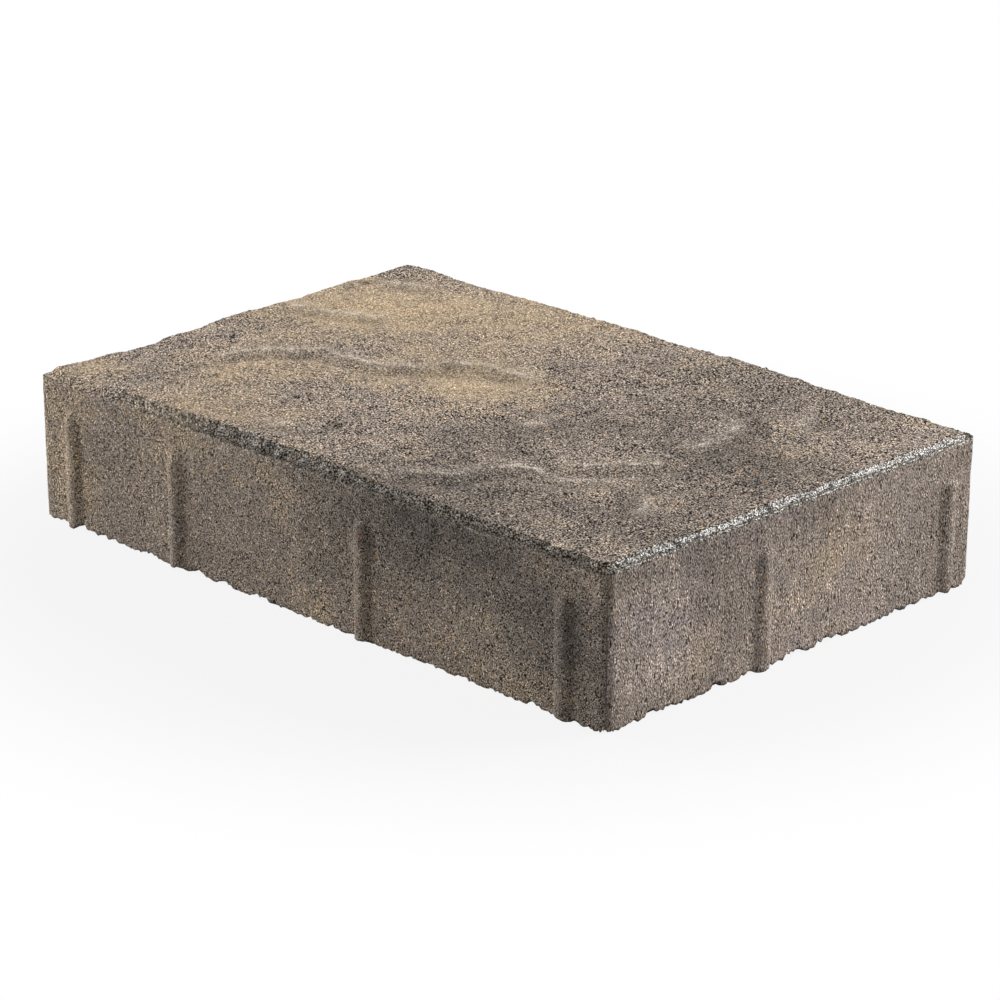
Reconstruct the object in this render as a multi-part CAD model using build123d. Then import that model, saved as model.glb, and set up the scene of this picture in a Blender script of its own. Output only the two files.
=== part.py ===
from build123d import *
import os
from math import pi, radians, sin, tan
from numpy import interp

# Body: one cast block with upright sides, in millimetres
body_length = 296.0
body_width = 196.0
corner_radius = 4.0
arris_height = 56.0

# Chamfer: from the arris it rises to the lowest stretch of the top, leaning in from upright
chamfer_rise = 2.4
chamfer_lean = 40.0

# Cleft top: a riven face that climbs over ledges from the front right to the back left
cleft_rise = 4.5
ledge_run = 26.0
section_pitch = 10.0
overrun = 10.0

# Spacer nibs: half-round ribs that keep the joint open between two laid stones
nib_width = 8.0
nib_proud = 2.0
nib_drop = 14.0
nib_runout = 4.0

# Nib places along a long side and along a short side, counted from the front right corner
long_nib_shares = (0.066, 0.394, 0.732, 0.935)
short_nib_shares = (0.402, 0.922)

# Ledge crests in plan: these two give a place along the length, then the crest across the width
upper_crest_shares = (
    (-0.1, 0.44),
    (0.02, 0.37),
    (0.1, 0.31),
    (0.17, 0.41),
    (0.31, 0.47),
    (0.41, 0.6),
    (0.56, 0.66),
    (0.62, 0.8),
    (0.69, 1.0),
    (0.8, 1.3),
)
corner_crest_shares = (
    (-0.1, 0.74),
    (0.12, 0.7),
    (0.2, 0.76),
    (0.34, 0.92),
    (0.6, 1.4),
)

# This crest gives a place across the width, then the crest along the length
right_crest_shares = (
    (-0.1, 0.54),
    (0.05, 0.6),
    (0.15, 0.68),
    (0.27, 0.73),
    (0.38, 0.82),
    (0.6, 0.81),
    (0.8, 0.84),
    (1.1, 0.87),
)

# What each ledge, the fall to the front and the swell along the front edge add to the rise
upper_ledge_share = 0.4
corner_ledge_share = 0.28
right_ledge_share = 0.22
fall_share = 0.04
swell_share = 0.34

# The swell along the front edge is one hump of a sine: where it starts and how far it runs
swell_start_share = 0.15
swell_span_share = 0.75

# Heights and radii that follow from the sizes above
rim_height = arris_height + chamfer_rise
peak_height = rim_height + cleft_rise
nib_height = arris_height - nib_drop
nib_radius = (nib_width**2 / 4 + nib_proud**2) / (2 * nib_proud)


def crest_at(crest_shares, place_share):
    """Read a crest line at one place."""
    places = [place for place, crest in crest_shares]
    crests = [crest for place, crest in crest_shares]
    return float(interp(place_share, places, crests))


def over_ledge(distance):
    """Blend from the foot of a ledge, 0, to its top, 1, over the ledge's run."""
    blend = min(max(distance / ledge_run + 0.5, 0), 1)
    return blend**2 * (3 - 2 * blend)


def top_height(x, y):
    """Height of the cleft top over one point of the plan."""
    along = x / body_length + 0.5
    across = y / body_width + 0.5
    past_upper = (across - crest_at(upper_crest_shares, along)) * body_width
    past_corner = (across - crest_at(corner_crest_shares, along)) * body_width
    past_right = (crest_at(right_crest_shares, across) - along) * body_length
    ledges_share = (
        upper_ledge_share * over_ledge(past_upper)
        + corner_ledge_share * over_ledge(past_corner)
        + right_ledge_share * over_ledge(past_right)
    )
    swell = sin(pi * (swell_start_share + swell_span_share * along)) * (1 - across) ** 2
    return rim_height + cleft_rise * (ledges_share + fall_share * across + swell_share * swell)


def spread(length):
    """Even places along a length and its overrun at both ends."""
    reach = length + 2 * overrun
    steps = max(round(reach / section_pitch), 4)
    return [reach * (step / steps - 0.5) for step in range(steps + 1)]


def cleft_section(y):
    """Upright section under the cleft top, closed below the bed."""
    crest = Spline(*[(x, y, top_height(x, y)) for x in spread(body_length)])
    start = crest @ 0
    end = crest @ 1
    below = Polyline(end, (end.X, y, -overrun), (start.X, y, -overrun), start)
    return Wire(crest.edges() + below.edges())


def outline(inset, height):
    """Rounded plan of the stone, drawn in by an inset and set at one height."""
    return Pos(0, 0, height) * RectangleRounded(body_length - 2 * inset, body_width - 2 * inset, corner_radius)


def body():
    """Block with leaning chamfers, cut off by the cleft top."""
    cap_height = peak_height + overrun
    cap_inset = (cap_height - arris_height) * tan(radians(chamfer_lean))
    block = extrude(outline(0, 0), arris_height)
    cap = loft([outline(0, arris_height), outline(cap_inset, cap_height)])
    under_cleft = Solid.make_loft([cleft_section(y) for y in spread(body_width)])
    return (block + cap) & under_cleft


def nib():
    """Half-round rib on an upright axis that lies behind the wall, with its top run out to the wall."""
    upright = (Align.CENTER, Align.CENTER, Align.MIN)
    shaft = Cylinder(nib_radius, nib_height, align=upright)
    tip = Cone(nib_radius, nib_radius - nib_proud, nib_runout, align=upright)
    return shaft + Pos(0, 0, nib_height) * tip


def nibs():
    """Nibs of all four sides: the back and left sides repeat the front and right ones, turned about."""
    sunk = nib_radius - nib_proud
    front = [Pos(body_length * (0.5 - share), sunk - body_width / 2) for share in long_nib_shares]
    right = [Pos(body_length / 2 - sunk, body_width * (share - 0.5)) for share in short_nib_shares]
    return [Rot(0, 0, turn) * place * nib() for turn in (0, 180) for place in front + right]


os.makedirs("parts", exist_ok=True)
export_step(body() + nibs(), "parts/paving_stone.step")
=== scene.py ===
# %% [markdown]
# # A cast concrete paving stone
# The stone is one block of pressed concrete with a top that looks cleft from slate.
# Its block, chamfers, ledges and nibs come from the CAD frame, at their real size.
# This lesson lays a fine skin over that block, roughens it as real concrete is rough, and paints its grain.

# %% Load the frame
from math import copysign, cos, pi, radians, sin
from random import Random
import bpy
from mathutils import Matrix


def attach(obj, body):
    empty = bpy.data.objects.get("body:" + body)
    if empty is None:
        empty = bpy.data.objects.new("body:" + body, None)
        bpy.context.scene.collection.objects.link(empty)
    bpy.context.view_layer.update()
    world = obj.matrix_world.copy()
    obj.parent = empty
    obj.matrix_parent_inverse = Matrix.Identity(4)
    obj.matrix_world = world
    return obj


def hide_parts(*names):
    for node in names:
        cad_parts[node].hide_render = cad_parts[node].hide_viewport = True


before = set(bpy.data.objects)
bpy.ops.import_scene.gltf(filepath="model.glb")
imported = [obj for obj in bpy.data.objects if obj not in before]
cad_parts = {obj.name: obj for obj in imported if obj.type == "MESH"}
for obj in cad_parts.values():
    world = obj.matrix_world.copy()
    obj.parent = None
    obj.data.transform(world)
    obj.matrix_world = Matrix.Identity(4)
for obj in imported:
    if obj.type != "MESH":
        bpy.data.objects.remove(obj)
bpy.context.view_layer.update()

from types import SimpleNamespace

import bmesh
import bpy
import numpy as np
from mathutils import Matrix, Vector, noise
from mathutils.bvhtree import BVHTree

MM = 0.001

# %% [markdown]
# ## Camera
# The photograph looks down at the near corner of the stone from about 20 degrees.
# The view could be found by eye, but its angles, distance and lens were solved from the block's own edges.
# That way each edge of the model falls on its edge in the photograph.

# %% Set the camera
VIEW_AZIMUTH = radians(44.633)
VIEW_ELEVATION = radians(19.979)
VIEW_ROLL = radians(0.157)
VIEW_DISTANCE = 1262.3 * MM
VIEW_RIGHT = 1.71 * MM
VIEW_UP = 17.87 * MM
FOCAL_PIXELS = 3349.6
IMAGE_PIXELS = 1000
SENSOR_WIDTH = 36.0


def view_axes():
    """The camera's right, up and back directions."""
    back = Vector((
        sin(VIEW_AZIMUTH) * cos(VIEW_ELEVATION),
        -cos(VIEW_AZIMUTH) * cos(VIEW_ELEVATION),
        sin(VIEW_ELEVATION),
    ))
    right = Vector((cos(VIEW_AZIMUTH), sin(VIEW_AZIMUTH), 0))
    up = back.cross(right)
    rolled_right = right * cos(VIEW_ROLL) + up * sin(VIEW_ROLL)
    return rolled_right, back.cross(rolled_right), back


def set_camera():
    """A camera that stands where the photographer stood."""
    right, up, back = view_axes()
    lens = bpy.data.cameras.new("photograph_view")
    lens.sensor_width = SENSOR_WIDTH
    lens.lens = FOCAL_PIXELS / IMAGE_PIXELS * SENSOR_WIDTH
    camera = bpy.data.objects.new("photograph_view", lens)
    bpy.context.scene.collection.objects.link(camera)
    place = back * VIEW_DISTANCE + right * VIEW_RIGHT + up * VIEW_UP
    turn = Matrix((right, up, back)).transposed()
    camera.matrix_world = Matrix.Translation(place) @ turn.to_4x4()
    bpy.context.scene.camera = camera
    return camera


camera = set_camera()
print("lens in mm:", round(camera.data.lens, 2))

# %% [markdown]
# ## Block
# A copy of the CAD block is merged and put in a search tree, so that rays can feel its walls.
# Its length and width could be typed again here, but a ray reads them from the frame.
# The height of its arris and the radius of its corners are harder to feel, so these two are written down.

# %% Measure the block
STONE = "paving_stone"
WELD = 0.001 * MM
ARRIS_HEIGHT = 56.0 * MM
CORNER_RADIUS = 4.0 * MM
FAR_OUT = 1.0
UNDER_ARRIS_SHARE = 0.95
DOWN = Vector((0, 0, -1))


def merged_copy(name):
    """A copy of a CAD node with its loose triangles joined."""
    copy = bmesh.new()
    copy.from_mesh(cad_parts[name].data)
    bmesh.ops.remove_doubles(copy, verts=copy.verts, dist=WELD)
    return copy


def wall_reach(direction):
    """How far the plain wall stands from the middle, read just under the arris."""
    start = direction * FAR_OUT + Vector((0, 0, ARRIS_HEIGHT * UNDER_ARRIS_SHARE))
    hit, *_ = block.ray_cast(start, -direction)
    return hit.dot(direction)


block = BVHTree.FromBMesh(merged_copy(STONE))
HALF_LENGTH = wall_reach(Vector((1, 0, 0)))
HALF_WIDTH = wall_reach(Vector((0, 1, 0)))
print("block in mm:", round(2 * HALF_LENGTH / MM, 2), "by", round(2 * HALF_WIDTH / MM, 2))

# %% [markdown]
# ## Skin
# The surface of the stone has grain of about a millimetre, so the skin needs cells of that size.
# A subdivided cube would spend as many cells on the hidden bed as on the top.
# So a fine grid makes the top, its border is extruded down the walls ring by ring,
# and a coarser grid closes the bed.
# Cells near the border are half as wide, because the chamfers and the arris crumble most.

# %% Lay the top grid
CELLS_ALONG = 272
CELLS_ACROSS = 184
BORDER_CELLS = 12
BORDER = 6.5 * MM


def spread(share, half, cells):
    """Turn an even share, from -1 to 1, into a place whose cells are finer near both ends."""
    fine_share = 2 * BORDER_CELLS / cells
    inset_share = 1 - abs(share)
    if inset_share < fine_share:
        place = half - BORDER * inset_share / fine_share
    else:
        place = (half - BORDER) * abs(share) / (1 - fine_share)
    return copysign(place, share)


def arc_centre(place):
    """The nearest point of the plan that lies at least a corner radius inside the outline."""
    reach_x = HALF_LENGTH - CORNER_RADIUS
    reach_y = HALF_WIDTH - CORNER_RADIUS
    return Vector((min(max(place.x, -reach_x), reach_x), min(max(place.y, -reach_y), reach_y), 0))


def rounded(place):
    """Draw the square corners of the grid onto the round corners of the stone."""
    centre = arc_centre(place)
    arm = place - centre
    if arm.length:
        arm *= max(abs(arm.x), abs(arm.y)) / arm.length
    return centre + arm


skin = bmesh.new()
chamfer = skin.verts.layers.float.new("chamfer")
crest = skin.verts.layers.float.new("crest")
pit = skin.verts.layers.float.new("pit")
drag = skin.verts.layers.float.new("drag")
open_grain = skin.verts.layers.float.new("open_grain")
sheen = skin.verts.layers.float.new("sheen")
bmesh.ops.create_grid(skin, x_segments=CELLS_ALONG, y_segments=CELLS_ACROSS, size=1)
top = list(skin.verts)
for vert in top:
    along = spread(vert.co.x, HALF_LENGTH, CELLS_ALONG)
    across = spread(vert.co.y, HALF_WIDTH, CELLS_ACROSS)
    vert.co = rounded(Vector((along, across, 0)))
rim = [edge for edge in skin.edges if edge.is_boundary]
border = {vert for edge in rim for vert in edge.verts}
print("top cells:", len(skin.faces), "border points:", len(border))

# %% [markdown]
# ### Walls of the skin
# The walls of the real stone drop straight from the arris to the ground.
# They could be grids of their own, but then their edges would have to be stitched to the top.
# Extruding the border of the top ring by ring keeps the skin in one piece and its points in line.

# %% Extrude the walls
WALL_ROWS = 44


def extruded(edges):
    """Extrude a ring of edges and give back its new points and edges."""
    grown = bmesh.ops.extrude_edge_only(skin, edges=edges)["geom"]
    points = [part for part in grown if isinstance(part, bmesh.types.BMVert)]
    ring = [part for part in grown if isinstance(part, bmesh.types.BMEdge) and part.is_boundary]
    return points, ring


walls = []
for row in range(1, WALL_ROWS + 1):
    ring_points, rim = extruded(rim)
    for vert in ring_points:
        vert.co.z = ARRIS_HEIGHT * (1 - row / WALL_ROWS)
    walls += ring_points
print("wall points:", len(walls))

# %% [markdown]
# ### Bed of the skin
# The bed lies on the ground, flat and out of sight, so its cells may be four times as wide.
# One large face would close it too, but it couldn't slope up to a ragged edge.
# So two narrow rings run round inside the edge, and a coarse grid is bridged to the inner one.

# %% Close the bed
BED_INSETS = (1.2 * MM, 2.6 * MM)
BED_COARSENESS = 4
BED_MARGIN = 6.0 * MM


def facing_out(place):
    """The direction that points straight out of the wall at one place of the outline."""
    flat = Vector((place.x, place.y, 0))
    return (flat - arc_centre(flat)).normalized()


def on_outline(place, inset):
    """The point of the outline, drawn in by an inset, that lies straight in from a wall point."""
    return arc_centre(place) + facing_out(place) * (CORNER_RADIUS - inset)


bed = []
for inset in BED_INSETS:
    ring_points, rim = extruded(rim)
    for vert in ring_points:
        vert.co = on_outline(vert.co, inset)
    bed += ring_points
bed_cells = (CELLS_ALONG // BED_COARSENESS, CELLS_ACROSS // BED_COARSENESS)
bed_grid = bmesh.ops.create_grid(skin, x_segments=bed_cells[0], y_segments=bed_cells[1], size=1)["verts"]
for vert in bed_grid:
    vert.co = Vector((vert.co.x * (HALF_LENGTH - BED_MARGIN), vert.co.y * (HALF_WIDTH - BED_MARGIN), 0))
bmesh.ops.bridge_loops(skin, edges=[edge for edge in skin.edges if edge.is_boundary])
bed += bed_grid
print("bed points:", len(bed))

# %% [markdown]
# ### Seat
# So far the skin is a plain box, and it has to lie on the block with its ledges, chamfers and nibs.
# A Shrinkwrap modifier would pull each point to the nearest face, and bunch points along the chamfers.
# Rays keep them in line: each point of the top drops straight down, and each wall point goes straight in.
# The rays wander a little beside their points, so that the edges aren't ruled lines.
# Over the chamfer they also start further out, which wears its upper edge round.
# No point of the top may lie lower than a small lift above the block's arris.

# %% Seat the skin on the block
CAST_HEIGHT = 100.0 * MM
CAST_OUT = 20.0 * MM
CAST_SHRINK = 0.9995
LOWEST_CAST = 0.2 * MM
EDGE_WANDER = 0.7 * MM
EDGE_WAVE = 5.0 * MM
EDGE_SEEDS = (1, 2)
EDGE_WEAR = 0.8 * MM
ARRIS_LIFT = 0.6 * MM
SEED_STEPS = (1.0, 2.3, -1.7)


def wave(place, length, seed):
    """Smooth noise from about -1 to 1, with bumps about one length apart."""
    return noise.noise(place / length + Vector([step * seed for step in SEED_STEPS]))


def arch(share):
    """A curve that is 0 at both ends, at shares 0 and 1, and 1 halfway."""
    return 4 * share * (1 - share)


def under(place):
    """Height and facing of the block under one point of the plan, with worn and wandering edges."""
    wander = Vector([wave(place, EDGE_WAVE, seed) for seed in EDGE_SEEDS] + [0]) * EDGE_WANDER
    edge_share = (place - arc_centre(place)).length / CORNER_RADIUS
    wear = facing_out(place) * (EDGE_WEAR * arch(edge_share))
    start = (place + wander + wear) * CAST_SHRINK
    hit, facing, *_ = block.ray_cast(Vector((start.x, start.y, CAST_HEIGHT)), DOWN)
    if hit is None:
        return ARRIS_HEIGHT, facing_out(place)
    return hit.z, facing


facing_of = {}
lowest = ARRIS_HEIGHT + ARRIS_LIFT
for vert in top:
    height, facing = under(vert.co)
    facing_of[vert] = facing
    vert.co.z = lowest if vert in border else max(height, lowest)
for vert in walls:
    outward = facing_out(vert.co)
    start = on_outline(vert.co, -CAST_OUT)
    start.z = max(vert.co.z, LOWEST_CAST)
    hit, *_ = block.ray_cast(start, -outward)
    vert.co.x, vert.co.y = hit.x, hit.y
bmesh.ops.recalc_face_normals(skin, faces=skin.faces)
skin.normal_update()
heights = [vert.co.z / MM for vert in top]
print("top from", round(min(heights), 2), "to", round(max(heights), 2), "mm")
print("open edges:", sum(not edge.is_manifold for edge in skin.edges))

# %% [markdown]
# ## Cleft relief
# The mould of such a stone is taken from split slate, so its top has thin crests with a steep fall in front.
# They could be sculpted by hand, but a few crest lines drawn over the plan are easier to read and to move.
# Each line raises a low lip and sinks the ground in front of it, and the distance to it wanders with noise.
# A pale highlight is painted along the crests, where light from behind catches them, partly as rubbing would
# leave it:
# a fine line along the lip, broken here and there, in a faint wider band.
# Where the line is broken, a second one runs a few millimetres behind it.

# %% Draw the crest lines
# Each crest: its height, then shares of the length and width; its high ground lies on the left hand.
CRESTS = (
    (1.5 * MM, ((0.105, 0.273), (0.127, 0.342), (0.16, 0.408), (0.203, 0.457), (0.253, 0.472),
                (0.304, 0.482), (0.329, 0.515), (0.363, 0.566), (0.405, 0.622), (0.456, 0.635),
                (0.507, 0.617))),
    (1.1 * MM, ((0.017, 0.58), (0.05, 0.63), (0.1, 0.648), (0.152, 0.68), (0.186, 0.714))),
    (0.8 * MM, ((0.034, 0.847), (0.076, 0.885), (0.135, 0.91))),
    (1.0 * MM, ((0.346, 0.077), (0.389, 0.107), (0.414, 0.14))),
    (1.5 * MM, ((0.557, 0.026), (0.595, 0.05), (0.633, 0.107), (0.667, 0.145), (0.676, 0.21),
                (0.69, 0.26), (0.727, 0.273), (0.769, 0.286), (0.8, 0.35), (0.828, 0.4))),
    (1.3 * MM, ((0.696, 0.33), (0.743, 0.332), (0.769, 0.375), (0.8, 0.426), (0.828, 0.477))),
    (1.1 * MM, ((0.785, 0.515), (0.8, 0.592), (0.794, 0.668), (0.768, 0.732), (0.752, 0.732))),
    (1.3 * MM, ((0.836, 0.758), (0.831, 0.816), (0.819, 0.872))),
    (1.0 * MM, ((0.853, 0.35), (0.878, 0.298), (0.904, 0.242), (0.93, 0.21))),
    (0.7 * MM, ((0.591, 0.388), (0.603, 0.439), (0.625, 0.515))),
)
CREST_WANDER = 1.3 * MM
CREST_WAVE = 8.0 * MM
CREST_SEED = 3
CREST_FADE = 9.0 * MM
BREAK_WAVE = 6.0 * MM
BREAK_SEED = 4
WHOLE_SHARE = 0.75
LIP_WIDTH = 1.1 * MM
LIP_SHARE = 0.25
HIGHLIGHT_BAND_WIDTH = 5.0 * MM
HIGHLIGHT_BAND_SHARE = 0.5
SECOND_LINE = 4.2 * MM
SECOND_SHARE = 0.8
FALL_OFFSET = 6.0 * MM
FALL_WIDTH = 6.5 * MM
FALL_SHARE = 1.6


def on_plan(along_share, across_share):
    """A place of the plan from its shares of the length and the width."""
    return np.array(((2 * along_share - 1) * HALF_LENGTH, (2 * across_share - 1) * HALF_WIDTH))


def crest_distance(places, line):
    """Distance of each place to a crest line, positive on high ground, and its fade towards the ends."""
    corners = [on_plan(*shares) for shares in line]
    nearest = np.full(len(places), np.inf)
    signed = np.zeros(len(places))
    run = np.zeros(len(places))
    length = 0.0
    for start, end in zip(corners, corners[1:]):
        step = end - start
        span = np.hypot(*step)
        offset = places - start
        along = np.clip(offset @ step / span**2, 0, 1)
        away = offset - along[:, None] * step
        gap = np.hypot(away[:, 0], away[:, 1])
        side = np.sign(step[0] * offset[:, 1] - step[1] * offset[:, 0])
        closer = gap < nearest
        nearest = np.where(closer, gap, nearest)
        signed = np.where(closer, gap * side, signed)
        run = np.where(closer, length + along * span, run)
        length += span
    fade = np.clip(np.minimum(run, length - run) / CREST_FADE, 0, 1)
    return signed, fade


def hump(distance, width):
    """A soft hump: 1 at no distance, and nearly 0 beyond two widths."""
    return np.exp(-((distance / width) ** 2))


places = np.array([(vert.co.x, vert.co.y) for vert in top])


def waves(length, seed):
    """Smooth noise at every place of the top."""
    return np.array([wave(Vector((x, y, 0)), length, seed) for x, y in places])


wander = waves(CREST_WAVE, CREST_SEED) * CREST_WANDER
whole = (WHOLE_SHARE + waves(BREAK_WAVE, BREAK_SEED)).clip(0, 1)
crest_rise = np.zeros(len(top))
crest_highlight_mask = np.zeros(len(top))
fall_mask = np.zeros(len(top))
for height, line in CRESTS:
    distance, fade = crest_distance(places, line)
    distance = distance + wander
    lip = hump(distance, LIP_WIDTH)
    fall = hump(distance + FALL_OFFSET, FALL_WIDTH)
    crest_rise += height * fade * (LIP_SHARE * lip - FALL_SHARE * fall)
    # The crest mask is a painted highlight: the lip line where it is whole, a faint wider band, and a second
    # line where it breaks.
    highlight_band = HIGHLIGHT_BAND_SHARE * hump(distance, HIGHLIGHT_BAND_WIDTH)
    second_line = SECOND_SHARE * hump(distance - SECOND_LINE, LIP_WIDTH)
    crest_highlight_mask = np.maximum(crest_highlight_mask, fade * np.maximum(whole * lip, highlight_band))
    crest_highlight_mask = np.maximum(crest_highlight_mask, fade * (1 - whole) * second_line)
    fall_mask = np.maximum(fall_mask, fade * fall)
print("crests:", len(CRESTS), "deepest fall in mm:", round(crest_rise.min() / MM, 2))

# %% [markdown]
# ## Swells, hollows and pits
# Between the crests a cleft face rolls gently, and the photograph's skyline shows where it swells or dips.
# A noise alone would roll anywhere, so a few soft swells are listed and noise fills in the rest.
# Pits are places where a stone or an air bubble came out of the face.
# They and the falls in front of the crests are painted darker, as shade.

# %% Place the swells and pits
# Each swell: shares of the length and width, its radius and its height.
SWELLS = (
    (0.0, 0.2, 30 * MM, -1.6 * MM),
    (0.0, 0.27, 8 * MM, -1.0 * MM),
    (0.0, 0.42, 14 * MM, -0.9 * MM),
    (0.0, 1.0, 20 * MM, 0.8 * MM),
    (0.07, 1.0, 9 * MM, 0.8 * MM),
    (0.17, 1.0, 14 * MM, -0.8 * MM),
    (0.42, 1.0, 14 * MM, 0.8 * MM),
    (0.53, 1.0, 6 * MM, -0.5 * MM),
    (0.65, 1.0, 8 * MM, -0.7 * MM),
    (0.68, 1.0, 26 * MM, 0.8 * MM),
    (0.85, 1.0, 12 * MM, -0.7 * MM),
    (0.92, 1.0, 9 * MM, 0.8 * MM),
    (0.95, 1.0, 25 * MM, -0.9 * MM),
)
# Each pit: shares of the length and width, its radius and its depth.
PITS = (
    (0.443, 0.165, 3.2 * MM, 1.4 * MM),
    (0.038, 0.815, 3.0 * MM, 1.2 * MM),
    (0.076, 0.704, 1.8 * MM, 0.8 * MM),
    (0.055, 0.917, 1.8 * MM, 0.8 * MM),
    (0.676, 0.311, 2.2 * MM, 1.0 * MM),
    (0.887, 0.139, 2.0 * MM, 0.9 * MM),
    (0.954, 0.10, 2.2 * MM, 0.9 * MM),
    (0.46, 0.898, 1.8 * MM, 0.8 * MM),
    (0.524, 0.809, 1.8 * MM, 0.8 * MM),
    (0.346, 0.77, 1.6 * MM, 0.8 * MM),
)
STRAY_PITS = 60
STRAY_RADIUS = (0.9 * MM, 1.7 * MM)
STRAY_DEPTH = (0.3 * MM, 0.8 * MM)
PIT_SEED = 7


def stray_pits(count, seed):
    """Small pits at random places of the top."""
    chance = Random(seed)
    return [
        (chance.random(), chance.random(), chance.uniform(*STRAY_RADIUS), chance.uniform(*STRAY_DEPTH))
        for _ in range(count)
    ]


def mounds(table):
    """Add up soft round mounds, or hollows where their height is negative, over the top."""
    rise = np.zeros(len(top))
    for along_share, across_share, radius, height in table:
        offset = places - on_plan(along_share, across_share)
        rise += height * np.exp(-(offset**2).sum(axis=1) / radius**2)
    return rise


all_pits = PITS + tuple(stray_pits(STRAY_PITS, PIT_SEED))
sunk_pits = [(*spot, radius, -depth) for *spot, radius, depth in all_pits]
pit_rise = mounds(sunk_pits)
swell_rise = mounds(SWELLS)
print("pits:", len(sunk_pits), "deepest in mm:", round(pit_rise.min() / MM, 2))

# %% [markdown]
# ## Grain
# Pressed concrete is sand and fine stone in a little paste, so every face is open and granular.
# All of it could be bump in the material, but the grain that the mesh can hold is better moved for real:
# it breaks the outline and it catches the light.
# The top rolls, and the chamfers crumble, least towards the left end, as in the photograph.

# %% Roughen the top and chamfers
# Each band of noise: the length of its waves, their height and a seed.
ROLL = ((34 * MM, 0.6 * MM, 11), (15 * MM, 0.8 * MM, 12), (7 * MM, 0.45 * MM, 13))
TOP_GRAIN = ((2.6 * MM, 0.12 * MM, 14),)
CHAMFER_GRAIN = ((4.2 * MM, 0.3 * MM, 15), (1.6 * MM, 0.3 * MM, 16))
CHAMFER_SLOPE = (0.06, 0.28)
TOP_JITTER = 0.12 * MM
CHAMFER_JITTER = 0.3 * MM
LONG_EDGE_SHEEN = 0.42
RIM_FADE = (-0.5, 0.15)
RIM_LEAST = 0.3
# Painted shade on the falls in front of the crests, which face away from the light.
FALL_SHADE = 0.45
JOLT_SEED = 5


def rough(place, bands):
    """Add up noise bands, each with a length, a height and a seed."""
    return sum(height * wave(place, length, seed) for length, height, seed in bands)


def between(value, low, high):
    """How far a value has come from low to high, from 0 to 1, with soft ends."""
    share = min(max((value - low) / (high - low), 0), 1)
    return share * share * (3 - 2 * share)


jolt = Random(JOLT_SEED)
for index, vert in enumerate(top):
    facing = facing_of[vert]
    crumbling = 1.0 if vert in border else between(1 - facing.z, *CHAMFER_SLOPE)
    place = vert.co.copy()
    rim_share = RIM_LEAST + (1 - RIM_LEAST) * between(place.x / (2 * HALF_LENGTH), *RIM_FADE)
    vert[chamfer] = crumbling * rim_share
    vert[sheen] = crumbling * (1.0 if abs(facing.x) > abs(facing.y) else LONG_EDGE_SHEEN * rim_share)
    vert[open_grain] = 1.0
    # share of the painted crest highlight, none on the chamfers
    vert[crest] = crest_highlight_mask[index] * (1 - crumbling)
    # painted shade: darker in deeper pits and on the falls
    vert[pit] = min(-pit_rise[index] / MM + FALL_SHADE * fall_mask[index], 1) * (1 - crumbling)
    rise = crest_rise[index] + pit_rise[index] + rough(place, ROLL)
    vert.co.z += swell_rise[index] * (vert not in border) + rise * (1 - crumbling)
    top_grain = rough(place, TOP_GRAIN) + jolt.uniform(-TOP_JITTER, TOP_JITTER)
    chamfer_grain = (rough(place, CHAMFER_GRAIN) + jolt.uniform(-CHAMFER_JITTER, CHAMFER_JITTER)) * rim_share
    vert.co += vert.normal * (top_grain * (1 - crumbling) + chamfer_grain * crumbling)
print("chamfer points:", sum(vert[chamfer] > 0 for vert in top))

# %% [markdown]
# ### Walls
# The mould closes the grain of the walls as it slides off, and drags upright lines into the short ones.
# The noise of the top would be too rough here, so a finer one is used, and a second one squeezed in height.
# The nibs stand proud, and a pale highlight is painted along them, partly as rubbing, so its share is kept
# with the crests'.

# %% Roughen the walls
DRAG = ((1.7 * MM, 0.10 * MM, 21), (4.5 * MM, 0.08 * MM, 22))
DRAG_STRETCH = 0.12
LONG_WALL_DRAG = 0.2
WALL_OPEN_GRAIN = 0.15
WALL_GRAIN = ((2.6 * MM, 0.1 * MM, 23), (9.0 * MM, 0.15 * MM, 24))
WALL_JITTER = 0.07 * MM
NIB_HIGHLIGHT = 0.22
NIB_HIGHLIGHT_START = 0.8 * MM
NIB_HIGHLIGHT_FULL = 1.9 * MM


def drag_place(place):
    """A place squeezed in height, so that noise read there draws upright lines."""
    return Vector((place.x, place.y, place.z * DRAG_STRETCH))


for vert in walls:
    place = vert.co.copy()
    outward = facing_out(place)
    vert[drag] = 1.0 if abs(outward.x) > abs(outward.y) else LONG_WALL_DRAG
    vert[open_grain] = WALL_OPEN_GRAIN
    proud = (place - on_outline(place, 0)).dot(outward)
    # painted highlight along the proud part of each nib
    vert[crest] = NIB_HIGHLIGHT * between(proud, NIB_HIGHLIGHT_START, NIB_HIGHLIGHT_FULL)
    wall_grain = rough(drag_place(place), DRAG) + rough(place, WALL_GRAIN)
    vert.co += outward * (wall_grain + jolt.uniform(-WALL_JITTER, WALL_JITTER))
print("wall points roughened:", len(walls))
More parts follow.
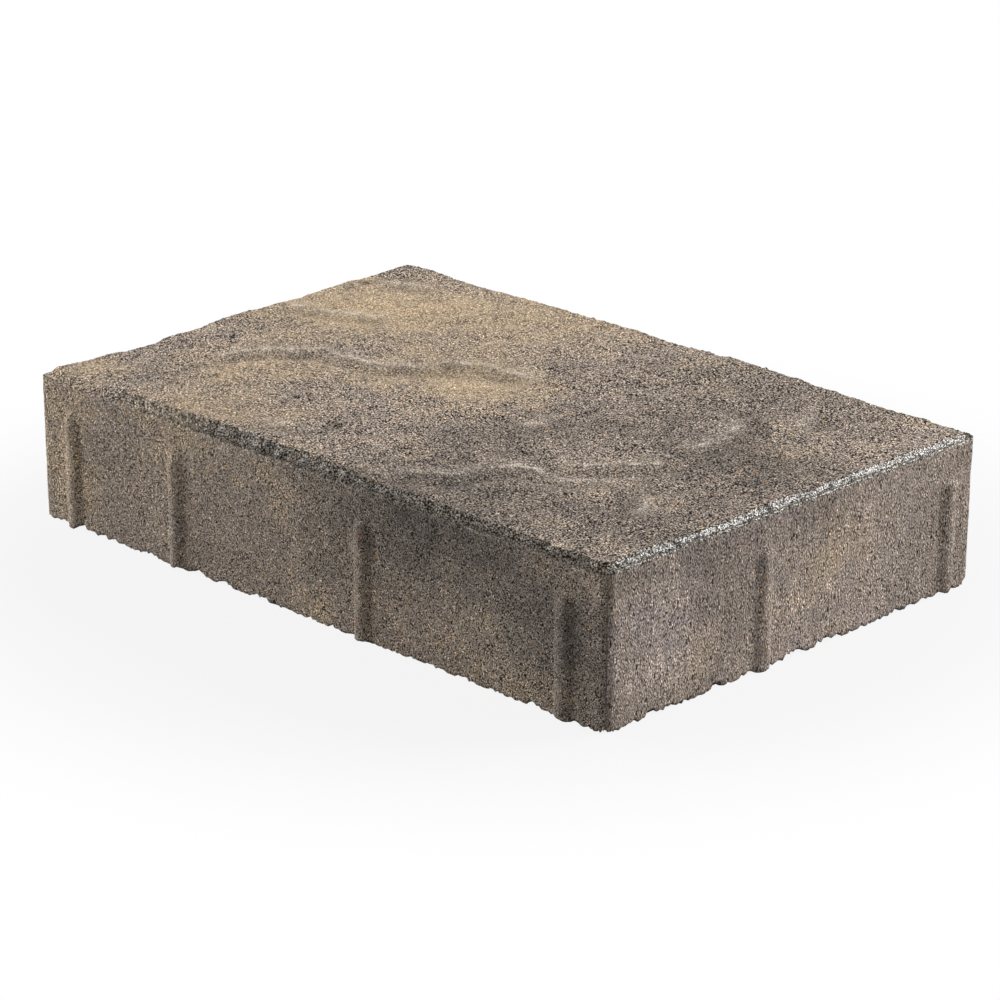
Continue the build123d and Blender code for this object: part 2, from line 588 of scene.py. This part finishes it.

# %% [markdown]
# ## Bed edge
# The lower edge is where fresh concrete is pushed out of the mould, so it is ragged where crumbs are gone.
# Noise alone would break it anywhere, so the notches of the front and the right edge are listed one by one.
# The back and left edges get notches at random places, and crumbs are gone all round.
# The edge is lifted by what is gone, and the bed slopes down to the ground behind it, as a broken edge does.

# %% Break the bed edge
# Each notch: shares of the length and width on the outline, its half width and its depth.
NOTCHES = (
    (0.0, 0.0, 4 * MM, 2.2 * MM),
    (0.081, 0.0, 3 * MM, 1.2 * MM),
    (0.135, 0.0, 4 * MM, 0.9 * MM),
    (0.215, 0.0, 5 * MM, 0.8 * MM),
    (0.31, 0.0, 4 * MM, 1.4 * MM),
    (0.36, 0.0, 4 * MM, 1.0 * MM),
    (0.43, 0.0, 8 * MM, 1.3 * MM),
    (0.59, 0.0, 3 * MM, 1.0 * MM),
    (0.69, 0.0, 3 * MM, 1.0 * MM),
    (0.745, 0.0, 3 * MM, 0.6 * MM),
    (0.89, 0.0, 6 * MM, 1.2 * MM),
    (1.0, 0.108, 3 * MM, 2.0 * MM),
    (1.0, 0.17, 2 * MM, 1.2 * MM),
    (1.0, 0.277, 3 * MM, 2.4 * MM),
    (1.0, 0.354, 2 * MM, 1.4 * MM),
    (1.0, 0.492, 6 * MM, 2.6 * MM),
    (1.0, 0.58, 3.5 * MM, 1.8 * MM),
    (1.0, 0.677, 2.5 * MM, 1.3 * MM),
    (1.0, 0.75, 4 * MM, 0.8 * MM),
    (1.0, 0.85, 9 * MM, 0.9 * MM),
    (1.0, 0.942, 2 * MM, 2.2 * MM),
    (1.0, 1.0, 4 * MM, 2.5 * MM),
)
STRAY_NOTCHES = 26
STRAY_WIDTH = (2 * MM, 6 * MM)
STRAY_NOTCH = (0.8 * MM, 2.4 * MM)
BACK_EDGE_SHARE = 0.6
NOTCH_SEED = 9
# Each size of crumb: its size, its depth and a seed.
EDGE_CRUMBS = ((4.6 * MM, 0.5 * MM, 33), (2.4 * MM, 0.6 * MM, 34))
CHIP_MOST = 3.0 * MM
CHIP_REACH = 7.0 * MM
EDGE_JITTER = 0.6 * MM
SHORT_CRUMBS = 1.6
SHORT_SIDE_FACING = 0.5


def stray_spot(chance):
    """Shares of the length and width at a random place of the back edge, or else of the left edge."""
    on_back = chance.random() < BACK_EDGE_SHARE
    along_edge = chance.random()
    return (along_edge, 1.0) if on_back else (0.0, along_edge)


def stray_notches(count, seed):
    """Notches at random places of the back edge and the left edge."""
    chance = Random(seed)
    spots = [stray_spot(chance) for _ in range(count)]
    return [(*spot, chance.uniform(*STRAY_WIDTH), chance.uniform(*STRAY_NOTCH)) for spot in spots]


notches = NOTCHES + tuple(stray_notches(STRAY_NOTCHES, NOTCH_SEED))
notch_spots = np.array([on_plan(u, v) for u, v, width, depth in notches])
notch_widths = np.array([width for u, v, width, depth in notches])
notch_depths = np.array([depth for u, v, width, depth in notches])
print("notches:", len(notches))


def crumbs(place, bands):
    """Add up broken-out crumbs: cells of one size, each gone to its own random depth."""
    return sum(depth * noise.cell(place / size + Vector((seed, seed, seed))) for size, depth, seed in bands)


def chip(place):
    """How much of the bed edge is gone beside one place."""
    edge = on_outline(place, 0)
    away = np.hypot(*(notch_spots - (edge.x, edge.y)).T) / notch_widths
    raggedness = SHORT_CRUMBS if abs(facing_out(place).x) > SHORT_SIDE_FACING else 1.0
    gone = float((notch_depths * np.exp(-away**2)).sum()) + raggedness * crumbs(edge, EDGE_CRUMBS)
    return min(max(gone, 0), CHIP_MOST)


for vert in walls:
    if vert.co.z < CHIP_REACH:
        lifted = max(chip(vert.co) + jolt.uniform(-EDGE_JITTER, EDGE_JITTER), 0)
        vert.co.z = lifted + vert.co.z * (CHIP_REACH - lifted) / CHIP_REACH
for vert in bed:
    flat = Vector((vert.co.x, vert.co.y, 0))
    inset = min(HALF_LENGTH - abs(flat.x), HALF_WIDTH - abs(flat.y))
    if inset < CHIP_REACH:
        vert.co.z = chip(flat) * (1 - inset / CHIP_REACH)
print("bed edge lifted by up to", round(max(v.co.z for v in bed) / MM, 2), "mm")

# %% [markdown]
# ## Stone
# The skin is finished, and it becomes one object at the origin, as one cast piece should.
# Flat faces would show each cell of the mesh, so the faces are shaded smooth.

# %% Make the stone object
stone_mesh = bpy.data.meshes.new("cast_stone")
skin.to_mesh(stone_mesh)
skin.free()
stone_mesh.polygons.foreach_set("use_smooth", [True] * len(stone_mesh.polygons))
stone = bpy.data.objects.new("cast_stone", stone_mesh)
bpy.context.scene.collection.objects.link(stone)
print("triangles:", sum(len(face.vertices) - 2 for face in stone_mesh.polygons))

# %% [markdown]
# ## Shader arithmetic
# A procedural material is a sum of patterns, and sums read better as expressions than as rows of links.
# One small class wraps a socket: its operators add Math nodes, and one method adds any other node.

# %% Wrap a socket


class Paint:
    """One value of a material. Arithmetic on it adds Math nodes."""

    def __init__(self, tree, made=None, output=0):
        self.tree = tree
        self.made = made
        self.output = output

    def __getitem__(self, output):
        return Paint(self.tree, self.made, output)

    @property
    def socket(self):
        return self.made.outputs[self.output]

    def node(self, kind, settings=None, inputs=None):
        """Add a node: its type, its settings and the values or links of its sockets."""
        made = self.tree.nodes.new(kind)
        for name, value in (settings or {}).items():
            setattr(made, name, value)
        for name, value in (inputs or {}).items():
            if isinstance(value, Paint):
                self.tree.links.new(value.socket, made.inputs[name])
            else:
                made.inputs[name].default_value = value
        return Paint(self.tree, made)

    def math(self, operation, *terms):
        """Add a Math node."""
        return self.node("ShaderNodeMath", {"operation": operation}, dict(enumerate(terms)))

    def __add__(self, other):
        return self.math("ADD", self, other)

    def __sub__(self, other):
        return self.math("SUBTRACT", self, other)

    def __rsub__(self, other):
        return self.math("SUBTRACT", other, self)

    def __mul__(self, other):
        return self.math("MULTIPLY", self, other)

    __radd__ = __add__
    __rmul__ = __mul__

    def blend(self, start, end):
        """Mix two colours, with this value as the share of the second."""
        return self.node("ShaderNodeMix", {"data_type": "RGBA"}, {0: self, 6: start, 7: end})[2]

    def tinted(self, tint):
        """This colour multiplied by a colour or a grey."""
        settings = {"data_type": "RGBA", "blend_type": "MULTIPLY"}
        return self.node("ShaderNodeMix", settings, {0: 1.0, 6: self, 7: tint})[2]

    def ramp(self, low, high, start=0.0, end=1.0):
        """Map low to high onto start to end with soft ends."""
        inputs = {"Value": self, "From Min": low, "From Max": high, "To Min": start, "To Max": end}
        return self.node("ShaderNodeMapRange", {"interpolation_type": "SMOOTHSTEP"}, inputs)


def new_paint(name):
    """An empty material and the paint that fills it."""
    material = bpy.data.materials.new(name)
    material.use_nodes = True
    material.node_tree.nodes.clear()
    return material, Paint(material.node_tree)


print("paint class ready")

# %% [markdown]
# ## Pigment
# Two pigments were folded into this stone: charcoal and tan, never fully mixed, so they lie in clouds.
# Noise alone would put the clouds anywhere, so soft round zones lean it one way or the other:
# the back left of the top is tan, and the near corner is charcoal.
# Some charcoal lies on the walls alone, and the short walls are paler, like ash.

# %% Fold the pigments
TAN = (0.48, 0.37, 0.245, 1)
GREY = (0.285, 0.236, 0.195, 1)
ASH = (0.46, 0.385, 0.36, 1)
CHARCOAL = (0.112, 0.098, 0.087, 1)
CLOUD_SIZE = 55 * MM
PATCH_SIZE = 14 * MM
NOISE_MIDDLE = 0.5
SWIRL_ROUGHNESS = 0.6
TAN_CLOUDS = 0.8
TAN_PATCHES = 0.9
# Each zone: a point of the surface in mm, its radius and how far it leans the colour there.
TAN_ZONES = (
    ((-73, 68, 60), 85 * MM, 0.65),
    ((-118, 33, 60), 60 * MM, 0.85),
    ((-28, 3, 60), 60 * MM, 0.68),
    ((-3, 3, 60), 35 * MM, 0.3),
    ((-89, -37, 60), 45 * MM, 0.62),
    ((-70, -85, 60), 40 * MM, 0.4),
    ((-43, -72, 60), 35 * MM, 0.25),
    ((-133, -86, 58), 32 * MM, 0.5),
    ((112, 23, 60), 22 * MM, 0.12),
    ((-142, -98, 30), 42 * MM, 0.5),
    # This zone lightens the wall round the leftmost nib: painted light over the shade of its flank.
    ((-126, -98, 20), 22 * MM, 0.3),
    ((-15, -98, 45), 25 * MM, 0.3),
    ((5, -98, 3), 15 * MM, 0.4),
    ((80, -98, 6), 30 * MM, 0.25),
    ((112, -98, 4), 26 * MM, 0.2),
    ((40, -98, 4), 24 * MM, 0.3),
    ((148, 10, 25), 45 * MM, 0.3),
    ((148, -60, 8), 25 * MM, 0.2),
)
CHARCOAL_ZONES = (
    ((41, 68, 60), 75 * MM, 0.3),
    ((32, -37, 60), 38 * MM, 0.55),
    ((38, -6, 60), 34 * MM, 0.35),
    ((112, 8, 60), 48 * MM, 0.48),
    ((-62, -78, 60), 30 * MM, 0.25),
    ((72, 18, 60), 50 * MM, 0.5),
    ((130, 10, 60), 45 * MM, 0.45),
    ((-113, -67, 60), 30 * MM, 0.3),
    ((132, -52, 60), 60 * MM, 0.52),
    ((95, 85, 60), 60 * MM, 0.3),
    ((60, -80, 60), 55 * MM, 0.72),
    ((98, -78, 60), 34 * MM, 0.3),
    ((20, -98, 30), 30 * MM, 0.35),
)
WALL_CHARCOAL_ZONES = (
    ((95, -98, 52), 42 * MM, 0.7),
    ((48, -98, 52), 38 * MM, 0.6),
    ((10, -98, 54), 30 * MM, 0.4),
    ((130, -98, 28), 40 * MM, 0.85),
)
ASH_ZONES = (
    ((148, 0, 28), 150 * MM, 0.42),
    ((148, 20, 0), 60 * MM, 0.2),
    ((150, -72, 28), 36 * MM, 0.9),
    ((150, -88, 28), 26 * MM, 0.7),
    ((-148, 0, 28), 150 * MM, 0.75),
)


def cloud(paint, place, size, detail, roughness=SWIRL_ROUGHNESS):
    """Soft noise with swirls of about one size."""
    inputs = {"Vector": place, "Scale": 1 / size, "Detail": detail, "Roughness": roughness}
    return paint.node("ShaderNodeTexNoise", {}, inputs)


def lean(paint, place, zones):
    """Add up soft round zones."""
    total = 0.0
    for centre, radius, share in zones:
        ends = {0: place, 1: Vector(centre) * MM}
        distance = paint.node("ShaderNodeVectorMath", {"operation": "DISTANCE"}, ends)["Value"]
        total = total + distance.ramp(0.0, radius, share, 0.0)
    return total


def pigment(paint, place, wall_share, short_share):
    """Grey concrete with clouds of tan and charcoal, paler on the short walls, and its share of tan."""
    clouds = cloud(paint, place, CLOUD_SIZE, detail=3) - NOISE_MIDDLE
    patches = cloud(paint, place, PATCH_SIZE, detail=4) - NOISE_MIDDLE
    tan_share = lean(paint, place, TAN_ZONES) + clouds * TAN_CLOUDS + patches * TAN_PATCHES
    dark_share = lean(paint, place, CHARCOAL_ZONES) - patches
    dark_share = dark_share + lean(paint, place, WALL_CHARCOAL_ZONES) * wall_share
    plain = (lean(paint, place, ASH_ZONES) * short_share).blend(GREY, ASH)
    return dark_share.blend(tan_share.blend(plain, TAN), CHARCOAL), tan_share


print("tan zones:", len(TAN_ZONES), "charcoal zones:", len(CHARCOAL_ZONES))

# %% [markdown]
# ## Grain and pores
# In the paste sit grains of about half a millimetre: silt on the closed walls, coarser sand on the open top.
# Between them are open pores, dark because no light gets out of them, and a few flecks of ochre and rust.
# A photograph of concrete would repeat and can't be repainted, so cells of noise stand for the grains.
# On the short walls the mould dragged the grain upright as it was lifted off.
# So there the patterns are stretched, and upright streaks run down the wall.

# %% Sow the grain
SILT_SIZE = 0.46 * MM
SAND_SIZE = 0.62 * MM
CRUMB_SIZE = 1.15 * MM
GRIT_SIZE = 2.0 * MM
GRIT_ROUGHNESS = 0.5
DUST_SIZE = 0.62 * MM
PORE_CELL = 1.7 * MM
FLECK_CELL = 5.0 * MM
DRAG_SQUEEZE = 0.5
STREAK_SIZE = 1.1 * MM
STREAK_SQUEEZE = (1.0, 1.0, 0.07)


def cells(paint, place, size):
    """Cells of about one size, each with its own random colour."""
    return paint.node("ShaderNodeTexVoronoi", {"feature": "F1"}, {"Vector": place, "Scale": 1 / size})


def chances(paint, grains):
    """Three random numbers for each grain."""
    return paint.node("ShaderNodeSeparateColor", {}, {"Color": grains["Color"]})


def share_of(paint, name):
    """A share that the mesh carries at each of its points."""
    return paint.node("ShaderNodeAttribute", {"attribute_name": name})["Fac"]


def dragged(paint, place):
    """Object coordinates, squeezed in height below the arris where the mould dragged the face."""
    axes = paint.node("ShaderNodeSeparateXYZ", {}, {"Vector": place})
    height = axes["Z"] + share_of(paint, "drag") * DRAG_SQUEEZE * (ARRIS_HEIGHT - axes["Z"])
    return paint.node("ShaderNodeCombineXYZ", {}, {"X": axes["X"], "Y": axes["Y"], "Z": height})


def sow(paint):
    """The place, the patterns and the mesh's own shares that the concrete is mixed from."""
    place = paint.node("ShaderNodeTexCoord")["Object"]
    grained = dragged(paint, place)
    squeezed = paint.node("ShaderNodeVectorMath", {"operation": "MULTIPLY"}, {0: place, 1: STREAK_SQUEEZE})
    return SimpleNamespace(
        place=place,
        silt=cells(paint, grained, SILT_SIZE),
        sand=cells(paint, place, SAND_SIZE),
        crumb=cells(paint, place, CRUMB_SIZE),
        pores=cells(paint, grained, PORE_CELL),
        flecks=cells(paint, place, FLECK_CELL),
        dust=cloud(paint, grained, DUST_SIZE, detail=0),
        grit=cloud(paint, grained, GRIT_SIZE, detail=1, roughness=GRIT_ROUGHNESS),
        streak=cloud(paint, squeezed, STREAK_SIZE, detail=2),
        crest=share_of(paint, "crest"),
        open_grain=share_of(paint, "open_grain"),
        pit=share_of(paint, "pit"),
        drag=share_of(paint, "drag"),
        chamfer=share_of(paint, "chamfer"),
        sheen=share_of(paint, "sheen"),
    )


print("silt of", SILT_SIZE / MM, "mm, sand of", SAND_SIZE / MM, "mm")

# %% [markdown]
# ### Colour of the paste
# The pigments colour the whole stone. Over them lie flecks of ochre, and of rust on the long walls.
# A pale highlight is painted on the crests and nibs, partly as rubbing, and the crumbling chamfers are dark.
# One ramp of colours couldn't tell these apart, so each is blended over the last by a share of its own.

# %% Colour the paste
OCHRE = (0.4, 0.27, 0.14, 1)
RUST = (0.28, 0.1, 0.065, 1)
CREST_HIGHLIGHT_COLOUR = (0.76, 0.67, 0.58, 1)
CHAMFER_COLOUR = (0.088, 0.074, 0.054, 1)
# Each step: the values at which it starts and ends, and what it gives there if not 0 and 1.
BLOTCH_STEP = (0.1, 0.35, 1.0, 0.0)
OCHRE_STEP = (0.8, 0.85)
RUST_STEP = (0.9, 0.92)
CRUMBLE_STEP = (0.35, 0.65)
BLOTCH_GRIT = 0.5
OCHRE_MOST = 0.5
RUST_MOST = 0.9
RUST_LOST_ON_TOP = 0.7
RUST_LOST_BY_DRAG = 0.6
CREST_HIGHLIGHT_MOST = 0.8
CRUMBLE_GRIT = 0.9
CRUMBLE_MOST = 0.85


def paste_colour(paint, sown):
    """The pigments with flecks, a painted highlight on crests and nibs, dark chamfers, and the share of tan.
    """
    fleck_chance = chances(paint, sown.flecks)
    grit_swing = sown.grit - NOISE_MIDDLE
    blotch = (sown.flecks["Distance"] + grit_swing * BLOTCH_GRIT).ramp(*BLOTCH_STEP)
    colour, tan_share = pigment(paint, sown.place, 1 - sown.open_grain, sown.drag)
    ochre_share = fleck_chance["Red"].ramp(*OCHRE_STEP) * blotch
    colour = (ochre_share * OCHRE_MOST).blend(colour, OCHRE)
    rust_share = fleck_chance["Green"].ramp(*RUST_STEP) * blotch
    rust_most = RUST_MOST - sown.open_grain * RUST_LOST_ON_TOP - sown.drag * RUST_LOST_BY_DRAG
    colour = (rust_share * rust_most).blend(colour, RUST)
    # a pale highlight painted over the crests and nibs, partly as rubbing
    colour = (sown.crest * sown.crest * CREST_HIGHLIGHT_MOST).blend(colour, CREST_HIGHLIGHT_COLOUR)
    crumbling = (sown.chamfer + grit_swing * CRUMBLE_GRIT).ramp(*CRUMBLE_STEP)
    return (crumbling * CRUMBLE_MOST).blend(colour, CHAMFER_COLOUR), tan_share


print("flecks in cells of", FLECK_CELL / MM, "mm")

# %% [markdown]
# ### Shade of the grain
# Up close each grain has a bright cap and a dark gap round it, which are light and shade on its relief
# painted into the colour, and a few grains are much brighter or darker.
# Random colours for whole cells would look like a mosaic.
# So the painted light and shade follow the distance to a grain's heart.
# The top shows sand that clings in crumbs, and the walls show silt, with patches of more and less contrast.

# %% Shade the grain
WARM_GRAIN = (1.06, 0.995, 0.94, 1)
COOL_GRAIN = (0.95, 1.0, 1.04, 1)
# Each tone, painted light on the cap and painted shade in the gap: the distances from a grain's heart at
# which it starts and ends, and its brightness at both.
CRUMB_TONE = (0.2, 0.85, 1.25, 0.7)
SAND_TONE = (0.25, 0.75, 2.2, 0.0)
SILT_TONE = (0.2, 0.8, 2.3, 0.12)
# Each chance: the random numbers between which the brightness changes, and its factor before and after.
CRUMB_CHANCE = (0.0, 1.0, 0.85, 1.2)
BRIGHT_SAND_CHANCE = (0.9, 0.93, 1.0, 1.8)
DARK_SAND_CHANCE = (0.86, 0.9, 1.0, 0.25)
BRIGHT_SILT_CHANCE = (0.92, 0.95, 1.0, 1.9)
# Each contrast: the shares between which it changes, and the contrast at both.
TAN_CONTRAST = (0.0, 0.9, 1.0, 0.55)
GRIT_CONTRAST = (0.3, 0.7, 0.5, 1.3)
WALL_CONTRAST = 1.55
CONTRAST_LOST_BY_DRAG = 0.7
DARKEST_SILT = 0.04
# Under the painted crest highlight the grain is evened out towards this brightness.
CREST_HIGHLIGHT_TONE = 1.15
CREST_CALM = 0.7
HOLE_SHADE = 0.85
PIT_SHADE = 0.5
STREAK_SHADE = 0.9


def sand_shade(paint, sown, tan_share):
    """Brightness of the sand on the top, which has less contrast in the tan clouds."""
    chance = chances(paint, sown.sand)
    crumb_chance = chances(paint, sown.crumb)["Red"]
    crumb_tone = sown.crumb["Distance"].ramp(*CRUMB_TONE) * crumb_chance.ramp(*CRUMB_CHANCE)
    tone = sown.sand["Distance"].ramp(*SAND_TONE) * crumb_tone
    tone = tone * chance["Red"].ramp(*BRIGHT_SAND_CHANCE) * chance["Green"].ramp(*DARK_SAND_CHANCE)
    return 1 + (tone - 1) * tan_share.ramp(*TAN_CONTRAST)


def silt_shade(paint, sown):
    """Brightness of the silt on the walls, which has less contrast where the mould dragged it."""
    bright_chance = chances(paint, sown.silt)["Red"]
    tone = sown.silt["Distance"].ramp(*SILT_TONE) * bright_chance.ramp(*BRIGHT_SILT_CHANCE)
    contrast = sown.grit.ramp(*GRIT_CONTRAST) * (WALL_CONTRAST - sown.drag * CONTRAST_LOST_BY_DRAG)
    shade = 1 + (tone - 1) * contrast
    return shade.math("MAXIMUM", shade, DARKEST_SILT)


def grain_shade(paint, sown, hole, tan_share):
    """Brightness of the grain: calm under the painted crest highlight, painted shade in pores, pits and
    falls, streaked where it was dragged.
    """
    silt = silt_shade(paint, sown)
    shade = silt + (sand_shade(paint, sown, tan_share) - silt) * sown.open_grain
    shade = shade + (CREST_HIGHLIGHT_TONE - shade) * sown.crest * CREST_CALM
    streaks = 1 + (sown.streak - NOISE_MIDDLE) * sown.drag * STREAK_SHADE
    return shade * (1 - hole * HOLE_SHADE) * (1 - sown.pit * PIT_SHADE) * streaks


print("sand from", SAND_TONE[2], "at its heart to", SAND_TONE[3], "in its gaps")

# %% [markdown]
# ### Pores, bump and sheen
# Pores are too small for the mesh, so they are dark spots that also sink in the bump.
# The bump is read from the same cells as the shade, so that each grain of colour is also a grain of relief.
# The chamfers glint where smooth paste caps their grains, and a rough surface alone has no glints.
# So a thin glossy coat is laid over it, full on those grains and faint between them.

# %% Sink the pores and raise the grain
# A pore's size and its edge are shares of its cell.
PORE_MOST = 0.3
PORE_LOSS = 0.04
PORE_DUST = 0.5
PORE_STEP = (0.0, 0.1)
GRIT_RELIEF = 0.4 * MM
HOLE_RELIEF = 0.6 * MM
SILT_RELIEF = 0.6 * MM
CRUMB_RELIEF = 0.2 * MM
SAND_RELIEF = 0.35 * MM
GLINT_STEP = (0.3, 0.55, 1.0, 0.0)
PASTE_GLOSS = 0.12


def hole_share(paint, sown):
    """1 in an open pore and 0 beside it: each cell has a pore of its own size, with a dusty edge."""
    size = chances(paint, sown.pores)["Red"] * PORE_MOST - PORE_LOSS
    dusty = (sown.dust - NOISE_MIDDLE) * PORE_DUST
    return (size + dusty - sown.pores["Distance"]).ramp(*PORE_STEP)


def relief(sown, hole):
    """Height of the grain that is too fine for the mesh."""
    closed = sown.silt["Distance"] * SILT_RELIEF
    opened = sown.crumb["Distance"] * CRUMB_RELIEF + sown.sand["Distance"] * SAND_RELIEF
    gaps = closed * (1 - sown.open_grain) + opened * sown.open_grain
    return sown.grit * GRIT_RELIEF - hole * HOLE_RELIEF - gaps


def gloss(sown):
    """Weight of the glossy coat: glints on the chamfers' grains and a faint sheen between them."""
    glint = sown.sand["Distance"].ramp(*GLINT_STEP)
    return sown.sheen * (glint + (1 - glint) * sown.sheen * PASTE_GLOSS)


print("pores in cells of", PORE_CELL / MM, "mm")

# %% [markdown]
# ### Mix
# Concrete is dull and rough, so the shader keeps a high roughness and little shine of its own.
# Warm and cool grains are mixed at random, which keeps the grey from looking like paint.

# %% Mix the concrete
ROUGHNESS = 0.9
SHINE = 0.12
COAT_ROUGHNESS = 0.42
COAT_IOR = 2.0


def concrete():
    """Charcoal and tan concrete with open grain."""
    material, paint = new_paint("charcoal_tan_concrete")
    sown = sow(paint)
    hole = hole_share(paint, sown)
    colour, tan_share = paste_colour(paint, sown)
    hue = chances(paint, sown.silt)["Green"].blend(WARM_GRAIN, COOL_GRAIN)
    shade = grain_shade(paint, sown, hole, tan_share)
    bump = {"Height": relief(sown, hole), "Distance": 1.0, "Strength": 1.0}
    inputs = {
        "Base Color": colour.tinted(hue).tinted(shade),
        "Roughness": ROUGHNESS,
        "Normal": paint.node("ShaderNodeBump", {}, bump),
        "Specular IOR Level": SHINE,
        "Coat Weight": gloss(sown),
        "Coat Roughness": COAT_ROUGHNESS,
        "Coat IOR": COAT_IOR,
    }
    shader = paint.node("ShaderNodeBsdfPrincipled", {}, inputs)
    paint.node("ShaderNodeOutputMaterial", {}, {"Surface": shader})
    return material


stone_mesh.materials.append(concrete())
print("nodes in the concrete:", len(stone_mesh.materials[0].node_tree.nodes))

# %% [markdown]
# ## Studio
# The photograph shows the stone on plain white.
# A white floor would throw too much light back, so a grey one is mixed with white where it is seen:
# fully far away, and a little less close to the stone, where its shadow stays.

# %% Lay the floor
WHITE = (1, 1, 1, 1)
FLOOR_SIZE = 4.0
FLOOR_COLOUR = (0.32, 0.32, 0.32, 1)
SHADOW_SHARE = 0.12
SHADOW_REACH = (0.16, 0.28)


def seen_directly(paint):
    """1 for rays from the camera, or from it by way of a mirror or glass, and 0 for light on its way."""
    path = paint.node("ShaderNodeLightPath")
    seen = path["Is Camera Ray"] + path["Is Glossy Ray"] + path["Is Transmission Ray"]
    return seen.math("MINIMUM", seen, 1.0)


def floor_paint():
    """A pale floor that looks white but for the shadow close to the stone."""
    material, paint = new_paint("studio_floor")
    place = paint.node("ShaderNodeTexCoord")["Object"]
    away = paint.node("ShaderNodeVectorMath", {"operation": "LENGTH"}, {0: place})["Value"]
    white_share = seen_directly(paint) * away.ramp(*SHADOW_REACH, 1 - SHADOW_SHARE, 1.0)
    matt = paint.node("ShaderNodeBsdfDiffuse", {}, {"Color": FLOOR_COLOUR})
    white = paint.node("ShaderNodeEmission", {}, {"Color": WHITE, "Strength": 1.0})
    surface = paint.node("ShaderNodeMixShader", {}, {0: white_share, 1: matt, 2: white})
    paint.node("ShaderNodeOutputMaterial", {}, {"Surface": surface})
    return material


floor_mesh = bpy.data.meshes.new("studio_floor")
floor_form = bmesh.new()
bmesh.ops.create_grid(floor_form, x_segments=1, y_segments=1, size=FLOOR_SIZE)
floor_form.to_mesh(floor_mesh)
floor_form.free()
floor_mesh.materials.append(floor_paint())
floor = bpy.data.objects.new("studio_floor", floor_mesh)
bpy.context.scene.collection.objects.link(floor)
print("floor laid")

# %% [markdown]
# ### Light
# In the photograph light from behind on the right glints on the right chamfer, and the nibs have a lit and
# a dark flank. One lamp overhead would flatten both.
# So one soft lamp stands behind on the right, one grazes the long wall from the left,
# a weak one fills the front, and the world fills the rest.

# %% Light the stone
WORLD_LEVEL = 0.24
# Each lamp: its name, the direction to it, its distance and size in metres, and the level of its light.
LAMPS = (
    ("back_light", (0.42, 0.70, 0.57), 1.5, 0.7, 1.15),
    ("left_light", (-0.92, -0.3, 0.25), 1.5, 1.0, 1.4),
    ("front_fill", (0.55, -0.75, 0.36), 1.5, 1.2, 0.08),
)


def light_world():
    """A soft even light, and white behind everything that is seen."""
    world = bpy.data.worlds.new("studio_world")
    world.use_nodes = True
    world.node_tree.nodes.clear()
    paint = Paint(world.node_tree)
    soft = paint.node("ShaderNodeBackground", {}, {"Color": WHITE, "Strength": WORLD_LEVEL})
    white = paint.node("ShaderNodeBackground", {}, {"Color": WHITE, "Strength": 1.0})
    surface = paint.node("ShaderNodeMixShader", {}, {0: seen_directly(paint), 1: soft, 2: white})
    paint.node("ShaderNodeOutputWorld", {}, {"Surface": surface})
    bpy.context.scene.world = world


def lamp(name, direction, distance, size, level):
    """A square soft lamp that lights a white card facing it to the given level."""
    light = bpy.data.lights.new(name, "AREA")
    light.size = size
    light.energy = level * (pi * distance) ** 2
    holder = bpy.data.objects.new(name, light)
    toward = Vector(direction).normalized()
    turn = toward.to_track_quat("Z", "Y").to_matrix().to_4x4()
    holder.matrix_world = Matrix.Translation(toward * distance) @ turn
    holder.visible_camera = False
    bpy.context.scene.collection.objects.link(holder)
    return holder


light_world()
for values in LAMPS:
    lamp(*values)
bpy.context.scene.view_settings.view_transform = "Standard"
print("lamps:", len(LAMPS))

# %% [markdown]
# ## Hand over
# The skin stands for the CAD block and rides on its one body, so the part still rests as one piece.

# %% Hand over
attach(stone, "root")
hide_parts(STONE)
